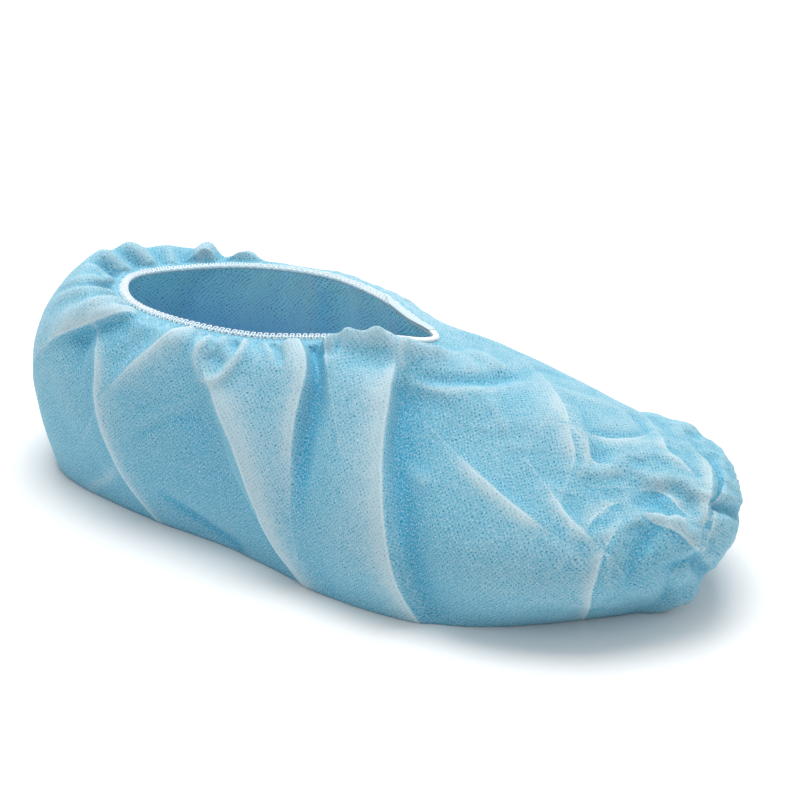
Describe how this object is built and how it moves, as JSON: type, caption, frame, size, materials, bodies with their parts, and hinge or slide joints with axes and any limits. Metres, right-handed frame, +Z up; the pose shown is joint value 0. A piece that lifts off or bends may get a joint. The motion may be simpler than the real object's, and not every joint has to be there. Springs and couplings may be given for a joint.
{
  "type": "shoe cover",
  "caption": "Disposable nonwoven shoe cover with a gathered elastic opening, standing open as if worn, with a broad flat sole and a crumpled toe.",
  "frame": {"origin": "middle of the outer box, on the floor under the sole", "axes": "+X toward the toe, +Z up, the side that the picture shows toward -Y"},
  "size_m": [0.324, 0.151, 0.0983],
  "materials": {
    "cover_cloth": "matte bonded nonwoven, light blue",
    "band_elastic": "matte woven elastic, white",
    "band_tape": "matte flat elastic, white"
  },
  "bodies": {
    "root": {"cover_body": "cover_cloth", "elastic_band": "band_elastic", "band_lap": "band_tape"}
  },
  "joints": []
}
